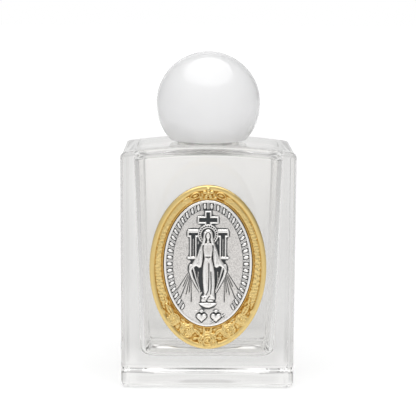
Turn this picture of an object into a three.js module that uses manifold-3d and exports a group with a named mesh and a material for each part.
// Holy water bottle: a rectangular glass flacon with a screw neck, a white ball cap and, bonded to its
// front, a gold-tone oval frame that holds a silver-tone relief medal.
// Millimetres, +Z up, origin at the centre of the base under the neck, medal facing -Y.
import * as THREE from 'three';
import { mergeVertices } from 'three/addons/utils/BufferGeometryUtils.js';
import Module from 'manifold-3d';

const wasm = await Module();
wasm.setup();

// Glass body
const bodyWidth = 50;
const bodyDepth = 32;
const crownHeight = 70.6;
const archRadius = 160;
const uprightEdgeRadius = 1.8;
const heelRadius = 2.0;
const topEdgeRadius = 1.4;

// Cavity in the glass
const sideWallAtRoof = 3.7;
const sideWallAtFloor = 5.4;
const frontWall = 4.2;
const baseThickness = 8.5;
const shoulderThickness = 1.6;
const cavityCornerRadius = 3.6;
const cavityFloorRadius = 3;
const cavityRoofRadius = 1.6;

// Neck
const neckRadius = 6.6;
const threadDepth = 0.7;
const neckFootRadius = 7.2;
const neckFootHeight = 1.3;
const neckHeight = 13.8;
const neckFillet = 0.5;
const lipRadius = 0.5;
const boreRadius = 4.5;
const boreFlare = 2.5;
const boreChamfer = 0.4;

// Pouring plug in the neck
const plugFlangeThickness = 0.8;
const plugLength = 8;
const plugWall = 0.8;
const plugHoleRadius = 1.5;
const plugNoseHeight = 1.6;
const plugBarb = 0.15;

// Cap
const ballRadius = 15.2;
const ballCut = 10.4;
const capGap = 0.3;
const ballEdgeRadius = 0.2;
const insertWall = 1.1;
const insertRoof = 1.2;
const insertRecess = 0.2;
const ribCount = 30;
const ribHeight = 0.3;
const linerThickness = 1;

// Frame and medal on the front
const frameWidth = 33.2;
const frameHeight = 47.4;
const frameCentreHeight = 36.2;
const frameFloor = 0.7;
const frameRimHeight = 1.55;
const frameGrooveHeight = 1.0;
const frameBandHeight = 1.25;
const frameInnerRimHeight = 2.0;
const medalWidth = 25;
const medalHeight = 36.5;
const medalOffset = 1.25;
const medalThickness = 0.8;
const medalRimWidth = 0.5;
const medalRimHeight = 0.25;
const padThickness = 0.5;
const padInset = 1.5;

// Roses and leaves of the frame, placed by the angle from the foot or the head of the oval
const largeRoseRadius = 2.8;
const middleRoseRadius = 1.9;
const smallRoseRadius = 1.4;
const middleRoseAngle = 22.5;
const smallRoseAngle = 36.5;
const sprayLeafAngle = 50;
const headFlowerRadius = 1.35;
const headLeafAngle = 14;
const roseHeight = 1.1;
const leafHeight = 0.55;

// Clearances
const seatGap = 0.3;
const pressGap = 0.15;
const glueGap = 0.1;
const reliefSink = 0.07;
const threadClearance = 0.2;

// Steps of the round forms
const cornerSteps = 5;
const longSideSteps = 10;
const shortSideSteps = 6;
const edgeSteps = 4;
const turnSteps = 48;
const plugSteps = 32;
const ovalSteps = 60;

const neckTop = crownHeight + neckHeight;
const capBottom = crownHeight + capGap;
const ballCentre = capBottom + ballCut;
const plugTop = neckTop + seatGap + plugFlangeThickness;
const linerBottom = plugTop + seatGap;
const insertCeiling = linerBottom + linerThickness + seatGap;
const insertTop = insertCeiling + insertRoof;
const insertInnerRadius = neckRadius + threadDepth + threadClearance;
const insertRadius = insertInnerRadius + insertWall;
const ballBoreRadius = insertRadius + ribHeight + pressGap;

function radians(degrees) {
  return THREE.MathUtils.degToRad(degrees);
}

// Skins a list of rings, all with as many points, into one closed body. The two end points close it.
function ringLoft(startPoint, rings, endPoint) {
  const count = rings[0].length;
  const positions = [...startPoint, ...rings.flat(2), ...endPoint];
  const last = rings.length * count + 1;
  const index = [];
  for (let i = 0; i < count; i += 1) {
    const next = (i + 1) % count;
    index.push(0, 1 + next, 1 + i);
    for (let ring = 0; ring < rings.length - 1; ring += 1) {
      const low = 1 + ring * count;
      const high = low + count;
      index.push(low + i, low + next, high + next);
      index.push(low + i, high + next, high + i);
    }
    const end = 1 + (rings.length - 1) * count;
    index.push(last, end + i, end + next);
  }
  const geometry = new THREE.BufferGeometry();
  geometry.setAttribute('position', new THREE.Float32BufferAttribute(positions, 3));
  geometry.setIndex(index);
  geometry.computeVertexNormals();
  return geometry;
}

function toSolid(geometry) {
  const bare = geometry.clone();
  bare.deleteAttribute('normal');
  bare.deleteAttribute('uv');
  const merged = mergeVertices(bare, 1e-5);
  const mesh = new wasm.Mesh({
    numProp: 3,
    vertProperties: new Float32Array(merged.attributes.position.array),
    triVerts: new Uint32Array(merged.index.array),
  });
  return new wasm.Manifold(mesh);
}

function unite(geometries) {
  const solid = geometries.map(toSolid).reduce((whole, piece) => whole.add(piece));
  const mesh = solid.getMesh();
  const geometry = new THREE.BufferGeometry();
  geometry.setAttribute('position', new THREE.Float32BufferAttribute(mesh.vertProperties, 3));
  geometry.setIndex(new THREE.Uint32BufferAttribute(mesh.triVerts, 1));
  geometry.computeVertexNormals();
  return geometry;
}

function turned(outline, segments = turnSteps) {
  const points = outline.map(([radius, height]) => new THREE.Vector2(radius, height));
  return new THREE.LatheGeometry(points, segments).rotateX(Math.PI / 2);
}

// The arched top of the bottle: a long arc seen from the front.
function archHeight(x) {
  return crownHeight - archRadius + Math.sqrt(archRadius ** 2 - x ** 2);
}

// A rectangle with round corners, as a ring of points at a height that may follow x.
function rectangleRing(halfWidth, halfDepth, radius, heightAt) {
  const corners = [[1, 1], [-1, 1], [-1, -1], [1, -1]];
  const arcs = corners.map(([sideX, sideY], corner) => {
    const arc = [];
    for (let i = 0; i <= cornerSteps; i += 1) {
      const angle = radians(90 * (corner + i / cornerSteps));
      arc.push(new THREE.Vector2(
        sideX * (halfWidth - radius) + radius * Math.cos(angle),
        sideY * (halfDepth - radius) + radius * Math.sin(angle),
      ));
    }
    return arc;
  });
  const ring = [];
  arcs.forEach((arc, corner) => {
    const from = arc[cornerSteps];
    const to = arcs[(corner + 1) % 4][0];
    const steps = corner % 2 === 0 ? longSideSteps : shortSideSteps;
    ring.push(...arc);
    for (let i = 1; i < steps; i += 1) {
      ring.push(from.clone().lerp(to, i / steps));
    }
  });
  return ring.map((point) => [point.x, point.y, heightAt(point.x)]);
}

function outerRing(inset, heightAt) {
  const radius = Math.max(uprightEdgeRadius - inset, 0.3);
  return rectangleRing(bodyWidth / 2 - inset, bodyDepth / 2 - inset, radius, heightAt);
}

// Ring directions that keep a round neck in line with the points of the rectangular body.
const ringAngles = outerRing(0, () => 0).map(([x, y]) => Math.atan2(y / bodyDepth, x / bodyWidth));

function roundRing(radius, heightAt) {
  return ringAngles.map((angle) => {
    const x = radius * Math.cos(angle);
    return [x, radius * Math.sin(angle), heightAt(x)];
  });
}

function blendRings(from, to, share, heightAt) {
  return from.map(([x, y], i) => {
    const blendedX = THREE.MathUtils.lerp(x, to[i][0], share);
    return [blendedX, THREE.MathUtils.lerp(y, to[i][1], share), heightAt(blendedX)];
  });
}

// Calls back with the sine and cosine of each step of a quarter circle.
function quarter(steps, makeRing) {
  const rings = [];
  for (let i = 0; i <= steps; i += 1) {
    const angle = radians(90 * (i / steps));
    rings.push(makeRing(Math.sin(angle), Math.cos(angle)));
  }
  return rings;
}

function bottleOutside() {
  const heel = quarter(edgeSteps, (sine, cosine) => (
    outerRing(heelRadius * (1 - sine), () => heelRadius * (1 - cosine))
  ));
  const topEdge = quarter(edgeSteps, (sine, cosine) => (
    outerRing(topEdgeRadius * (1 - cosine), (x) => archHeight(x) - topEdgeRadius * (1 - sine))
  ));
  const topRim = topEdge[topEdge.length - 1];
  const neckFoot = roundRing(neckFootRadius + neckFillet, archHeight);
  const topFace = [0.3, 0.6, 0.85].map((share) => blendRings(topRim, neckFoot, share, archHeight));
  return [...heel, ...topEdge, ...topFace, neckFoot];
}

function neckOutside() {
  const foot = quarter(2, (sine, cosine) => (
    roundRing(neckFootRadius + neckFillet * (1 - sine), (x) => archHeight(x) + neckFillet * (1 - cosine))
  )).slice(1);
  const step = neckFootRadius - neckRadius;
  const lip = quarter(3, (sine, cosine) => (
    roundRing(neckRadius - lipRadius * (1 - cosine), () => neckTop - lipRadius * (1 - sine))
  ));
  return [
    ...foot,
    roundRing(neckFootRadius, () => crownHeight + neckFootHeight),
    roundRing(neckRadius, () => crownHeight + neckFootHeight + step),
    ...lip,
    roundRing(boreRadius + boreChamfer, () => neckTop),
    roundRing(boreRadius, () => neckTop - boreChamfer),
  ];
}

function roofHeight(x) {
  return archHeight(x) - shoulderThickness;
}

function cavityRing(sideWall, inset, heightAt) {
  const halfWidth = bodyWidth / 2 - sideWall - inset;
  const halfDepth = bodyDepth / 2 - frontWall - inset;
  return rectangleRing(halfWidth, halfDepth, cavityCornerRadius, heightAt);
}

function bottleInside() {
  const flare = quarter(edgeSteps, (sine, cosine) => (
    roundRing(boreRadius + boreFlare * (1 - cosine), (x) => roofHeight(x) + boreFlare * (1 - sine))
  ));
  const flareEdge = flare[flare.length - 1];
  const roofEdge = quarter(edgeSteps + 1, (sine, cosine) => (
    cavityRing(sideWallAtRoof, cavityRoofRadius * (1 - sine), (x) => (
      roofHeight(x) - cavityRoofRadius * (1 - cosine)
    ))
  ));
  const roof = [0.3, 0.65].map((share) => blendRings(flareEdge, roofEdge[0], share, roofHeight));
  const floorEdge = quarter(edgeSteps, (sine, cosine) => (
    cavityRing(sideWallAtFloor, cavityFloorRadius * (1 - cosine), () => (
      baseThickness + cavityFloorRadius * (1 - sine)
    ))
  ));
  return [...flare, ...roof, ...roofEdge, ...floorEdge];
}

function glassBottle() {
  const rings = [...bottleOutside(), ...neckOutside(), ...bottleInside()];
  return ringLoft([0, 0, 0], rings, [0, 0, baseThickness]);
}

function pourInsert() {
  const skirtRadius = boreRadius - seatGap;
  const flangeBottom = neckTop + seatGap;
  const skirtBottom = plugTop - plugLength;
  const barbHeight = (flangeBottom + skirtBottom) / 2;
  const innerRadius = skirtRadius - plugWall;
  return turned([
    [plugHoleRadius, plugTop - plugNoseHeight],
    [innerRadius, plugTop - plugNoseHeight],
    [innerRadius, skirtBottom],
    [skirtRadius - plugBarb, skirtBottom],
    [skirtRadius, skirtBottom + 1],
    [skirtRadius, barbHeight - 1],
    [skirtRadius + plugBarb, barbHeight],
    [skirtRadius, barbHeight + 1],
    [skirtRadius, flangeBottom],
    [neckRadius - lipRadius, flangeBottom],
    [neckRadius - lipRadius, plugTop],
    [plugHoleRadius + plugFlangeThickness, plugTop],
    [plugHoleRadius, plugTop - plugFlangeThickness],
    [plugHoleRadius, plugTop - plugNoseHeight],
  ], plugSteps);
}

function capBall() {
  const flatRadius = Math.sqrt(ballRadius ** 2 - ballCut ** 2);
  const boreTop = insertTop + seatGap;
  const outline = [
    [0, boreTop],
    [ballBoreRadius, boreTop],
    [ballBoreRadius, capBottom + ballEdgeRadius],
    [ballBoreRadius + ballEdgeRadius, capBottom],
    [flatRadius - ballEdgeRadius, capBottom],
  ];
  const startAngle = Math.asin((ballEdgeRadius - ballCut) / ballRadius);
  const steps = 20;
  for (let i = 0; i <= steps; i += 1) {
    const angle = THREE.MathUtils.lerp(startAngle, Math.PI / 2, i / steps);
    const radius = i === steps ? 0 : ballRadius * Math.cos(angle);
    outline.push([radius, ballCentre + ballRadius * Math.sin(angle)]);
  }
  return turned(outline);
}

// The ribs that grip the ball run down the outside of the skirt.
function capInsert() {
  const stepsPerRib = 4;
  const count = ribCount * stepsPerRib;
  const ring = (radius, height, rib) => Array.from({ length: count }, (unused, i) => {
    const angle = (2 * Math.PI * i) / count;
    const reach = radius + (i % stepsPerRib < 2 ? rib : 0);
    return [reach * Math.cos(angle), reach * Math.sin(angle), height];
  });
  const rim = capBottom + insertRecess;
  const rings = [
    ring(insertInnerRadius, insertCeiling, 0),
    ring(insertInnerRadius, rim, 0),
    ring(insertRadius, rim, ribHeight),
    ring(insertRadius, insertTop, ribHeight),
  ];
  return ringLoft([0, 0, insertCeiling], rings, [0, 0, insertTop]);
}

function capLiner() {
  const radius = insertInnerRadius - pressGap;
  return turned([[0, linerBottom], [radius, linerBottom], [radius, linerBottom + linerThickness],
    [0, linerBottom + linerThickness]]);
}

// Ovals of the front pieces lie in their own plane: x across, y up the bottle, z out of the glass.
function ovalRing(halfWidth, halfHeight, centre, height) {
  return Array.from({ length: ovalSteps }, (unused, i) => {
    const angle = (2 * Math.PI * i) / ovalSteps;
    return [halfWidth * Math.cos(angle), centre + halfHeight * Math.sin(angle), height];
  });
}

function recessRing(height) {
  return ovalRing(medalWidth / 2 + pressGap, medalHeight / 2 + pressGap, medalOffset, height);
}

// A ring of the frame's border: share 0 is the frame's edge, share 1 the recess that holds the medal.
function borderRing(share, height) {
  const outer = ovalRing(frameWidth / 2, frameHeight / 2, 0, height);
  return blendRings(outer, recessRing(height), share, () => height);
}

function borderPoint(share, angle) {
  const outer = new THREE.Vector2((frameWidth / 2) * Math.cos(angle), (frameHeight / 2) * Math.sin(angle));
  const inner = new THREE.Vector2(
    (medalWidth / 2) * Math.cos(angle),
    medalOffset + (medalHeight / 2) * Math.sin(angle),
  );
  return outer.lerp(inner, share);
}

function rose(radius, height, petals) {
  const steps = petals * 3;
  const ring = (share, level, wave) => Array.from({ length: steps }, (unused, i) => {
    const angle = (2 * Math.PI * i) / steps;
    const reach = radius * share * (1 + wave * Math.cos(petals * angle));
    return [reach * Math.cos(angle), reach * Math.sin(angle), height * level];
  });
  const rings = [
    ring(1, -0.5, 0.08),
    ring(1, 0.4, 0.08),
    ring(0.82, 0.8, 0.08),
    ring(0.56, 0.5, 0),
    ring(0.42, 0.95, -0.08),
    ring(0.2, 0.75, 0),
  ];
  return ringLoft([0, 0, -0.5 * height], rings, [0, 0, 0.85 * height]);
}

function leaf(length, width, height) {
  return new THREE.SphereGeometry(1, 10, 6).scale(length / 2, width / 2, height);
}

function placedOnBorder(geometry, share, angle, turn, height) {
  const point = borderPoint(share, angle);
  return geometry.rotateZ(turn).translate(point.x, point.y, height);
}

function frameOrnaments() {
  const foot = radians(-90);
  const head = radians(90);
  const sides = [-1, 1];
  const pieces = [
    placedOnBorder(rose(largeRoseRadius, roseHeight, 5), 0.45, foot, 0, frameBandHeight),
    placedOnBorder(rose(headFlowerRadius, roseHeight, 5), 0.5, head, 0, frameBandHeight),
  ];
  sides.forEach((side) => {
    const middle = foot + side * radians(middleRoseAngle);
    const small = foot + side * radians(smallRoseAngle);
    const spray = foot + side * radians(sprayLeafAngle);
    const crest = head - side * radians(headLeafAngle);
    pieces.push(placedOnBorder(rose(middleRoseRadius, roseHeight, 5), 0.5, middle, 0, frameBandHeight));
    pieces.push(placedOnBorder(rose(smallRoseRadius, roseHeight, 5), 0.5, small, 0, frameBandHeight));
    pieces.push(placedOnBorder(leaf(4.4, 1.5, leafHeight), 0.45, spray, spray + head, frameBandHeight));
    pieces.push(placedOnBorder(leaf(4, 1.5, leafHeight), 0.5, crest, crest + head, frameBandHeight));
  });
  return pieces;
}

function medalFrame() {
  const rings = [
    borderRing(0, 0),
    borderRing(0, frameRimHeight * 0.6),
    borderRing(0.03, frameRimHeight * 0.85),
    borderRing(0.12, frameRimHeight),
    borderRing(0.22, frameRimHeight * 0.93),
    borderRing(0.3, frameGrooveHeight),
    borderRing(0.36, frameGrooveHeight),
    borderRing(0.42, frameBandHeight),
    borderRing(0.74, frameBandHeight),
    borderRing(0.8, frameGrooveHeight),
    borderRing(0.86, frameInnerRimHeight * 0.93),
    borderRing(0.92, frameInnerRimHeight),
    borderRing(1, frameInnerRimHeight * 0.85),
    recessRing(frameFloor),
  ];
  const frame = ringLoft([0, 0, 0], rings, [0, medalOffset, frameFloor]);
  return unite([frame, ...frameOrnaments()]);
}

// A long rounded form of the relief: sections of [height up the medal, half width, thickness].
function reliefLoft(sections) {
  const steps = 12;
  const level = medalThickness - reliefSink;
  const rings = sections.map(([up, halfWidth, thickness]) => (
    Array.from({ length: steps }, (unused, i) => {
      const angle = -(2 * Math.PI * (i + 0.5)) / steps;
      return [halfWidth * Math.cos(angle), up, level + thickness * Math.sin(angle)];
    })
  ));
  const [firstUp] = sections[0];
  const [lastUp] = sections[sections.length - 1];
  return ringLoft([0, firstUp, level], rings, [0, lastUp, level]);
}

function reliefBar(fromX, fromY, toX, toY, width, height) {
  const length = Math.hypot(toX - fromX, toY - fromY);
  const sink = medalThickness / 2;
  const bar = new THREE.BoxGeometry(length, width, height + sink);
  bar.rotateZ(Math.atan2(toY - fromY, toX - fromX));
  return bar.translate((fromX + toX) / 2, (fromY + toY) / 2, medalThickness + (height - sink) / 2);
}

function medalPlate() {
  const halfWidth = medalWidth / 2;
  const halfHeight = medalHeight / 2;
  const face = medalThickness + medalRimHeight;
  const rings = [
    ovalRing(halfWidth, halfHeight, 0, 0),
    ovalRing(halfWidth, halfHeight, 0, face - medalRimHeight / 2),
    ovalRing(halfWidth - medalRimWidth / 2, halfHeight - medalRimWidth / 2, 0, face),
    ovalRing(halfWidth - medalRimWidth, halfHeight - medalRimWidth, 0, medalThickness),
  ];
  return ringLoft([0, 0, 0], rings, [0, 0, medalThickness]);
}

// The veiled figure on its globe, with the arms lowered and opened.
function medalFigure() {
  const robe = [[-10.4, 2.2, 0.25], [-10, 2.1, 0.5], [-6, 1.7, 0.6], [-1, 1.35, 0.65], [2, 1.2, 0.7],
    [5, 1.9, 0.7], [6.2, 1.6, 0.5], [7, 0.5, 0.4]];
  const mantle = [[-8.6, 2.2, 0.2], [-5, 3.3, 0.3], [-1, 3.6, 0.35], [3, 3, 0.4], [6, 2, 0.4]];
  const head = new THREE.SphereGeometry(1.15, 14, 10).scale(1, 1.15, 0.6);
  const pieces = [
    reliefLoft(robe),
    reliefLoft(mantle),
    head.translate(0, 8.3, medalThickness + 0.1),
    new THREE.SphereGeometry(2.8, 16, 8).scale(1, 0.45, 0.25).translate(0, -11.4, medalThickness - reliefSink),
  ];
  [-1, 1].forEach((side) => {
    const arm = leaf(6.4, 1.6, 0.6).rotateZ(side * radians(-58));
    pieces.push(arm.translate(side * 3.3, 1.4, medalThickness - reliefSink));
  });
  return pieces;
}

function medalEmblems() {
  const pieces = [
    reliefBar(0, 11.2, 0, 15.3, 1.1, 0.3),
    reliefBar(-3.1, 13.4, 3.1, 13.4, 1.1, 0.3),
  ];
  [-1, 1].forEach((side) => {
    pieces.push(reliefBar(side * 5.2, 1.6, side * 5.2, 9.8, 0.9, 0.25));
    pieces.push(reliefBar(side * 3, 8.4, side * 6.6, 8.4, 0.9, 0.25));
    [-1, 1].forEach((lobe) => {
      const half = leaf(2.9, 1.5, 0.4).rotateZ(lobe * radians(52));
      pieces.push(half.translate(side * 2.05 + lobe * 0.4, -16.1, medalThickness - reliefSink));
    });
    for (let i = 0; i < 5; i += 1) {
      const angle = radians(side * (14 + 9 * i) - 90);
      const startX = side * 5;
      const reachX = startX + 8 * Math.cos(angle);
      pieces.push(reliefBar(startX, -2.2, reachX, -2.2 + 8 * Math.sin(angle), 0.25, 0.15));
    }
  });
  return pieces;
}

function medal() {
  return unite([medalPlate(), ...medalFigure(), ...medalEmblems()]);
}

function adhesivePad() {
  const halfWidth = frameWidth / 2 - padInset;
  const halfHeight = frameHeight / 2 - padInset;
  const rings = [ovalRing(halfWidth, halfHeight, 0, 0), ovalRing(halfWidth, halfHeight, 0, padThickness)];
  return ringLoft([0, 0, 0], rings, [0, 0, padThickness]);
}

const glass = new THREE.MeshStandardMaterial({
  color: 0xe9eeee, roughness: 0.02, metalness: 0, transparent: true, opacity: 0.35,
});
const whiteGloss = new THREE.MeshStandardMaterial({ color: 0xf6f6f7, roughness: 0.08, metalness: 0 });
const whiteMatte = new THREE.MeshStandardMaterial({ color: 0xeeeeea, roughness: 0.45, metalness: 0 });
const foam = new THREE.MeshStandardMaterial({ color: 0xdcdcd6, roughness: 0.9, metalness: 0 });
const clearPlastic = new THREE.MeshStandardMaterial({ color: 0xf0f2f0, roughness: 0.3, metalness: 0 });
const gold = new THREE.MeshStandardMaterial({ color: 0xd9a63a, roughness: 0.32, metalness: 1 });
const silver = new THREE.MeshStandardMaterial({ color: 0xb9b9b6, roughness: 0.35, metalness: 1 });
const adhesive = new THREE.MeshStandardMaterial({ color: 0xe6e6e0, roughness: 0.6, metalness: 0 });

function piece(name, geometry, material) {
  const mesh = new THREE.Mesh(geometry, material);
  mesh.name = name;
  return mesh;
}

// The front group turns the ovals' own plane onto the front face of the glass.
function frontGroup() {
  const pad = piece('adhesive_pad', adhesivePad(), adhesive);
  const frame = piece('medal_frame', medalFrame(), gold);
  const plaque = piece('medal', medal(), silver);
  frame.position.z = padThickness + glueGap;
  plaque.position.set(0, medalOffset, frame.position.z + frameFloor + glueGap);
  const front = new THREE.Group();
  front.add(pad, frame, plaque);
  front.rotation.x = Math.PI / 2;
  front.position.set(0, -bodyDepth / 2 - glueGap, frameCentreHeight);
  return front;
}

const bottle = new THREE.Group();
bottle.add(
  piece('glass_bottle', glassBottle(), glass),
  piece('pour_insert', pourInsert(), clearPlastic),
  piece('cap_ball', capBall(), whiteGloss),
  piece('cap_insert', capInsert(), whiteMatte),
  piece('cap_liner', capLiner(), foam),
  frontGroup(),
);

export default bottle;
